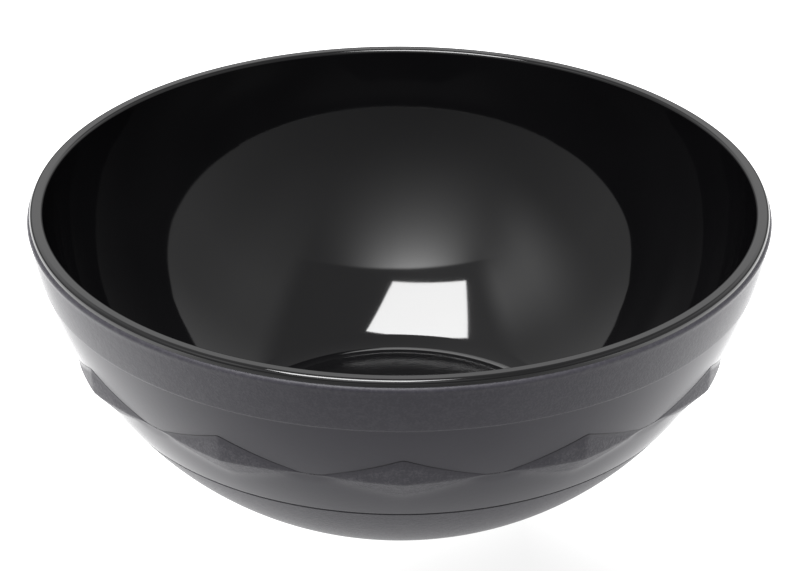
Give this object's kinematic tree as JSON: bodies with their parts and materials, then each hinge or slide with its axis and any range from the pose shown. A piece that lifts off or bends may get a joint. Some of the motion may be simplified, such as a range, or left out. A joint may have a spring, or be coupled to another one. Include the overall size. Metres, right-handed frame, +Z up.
{
  "type": "hair color bowl",
  "caption": "Round moulded bowl for mixing hair color, polished inside, with a textured faceted belt outside and a rubber ring in its foot.",
  "frame": {"origin": "on the bowl's axis, at the surface that the rubber ring stands on", "axes": "+Z up along the bowl's axis; a corner of the twelve-sided belt points along -Y"},
  "size_m": [0.131, 0.131, 0.055],
  "materials": {
    "bowl_plastic": "black moulded plastic: polished inside and on the rim, fine mould texture and satin bands outside",
    "ring_rubber": "dull black rubber"
  },
  "bodies": {
    "root": {"bowl_body": "bowl_plastic", "non_slip_ring": "ring_rubber"}
  },
  "joints": []
}
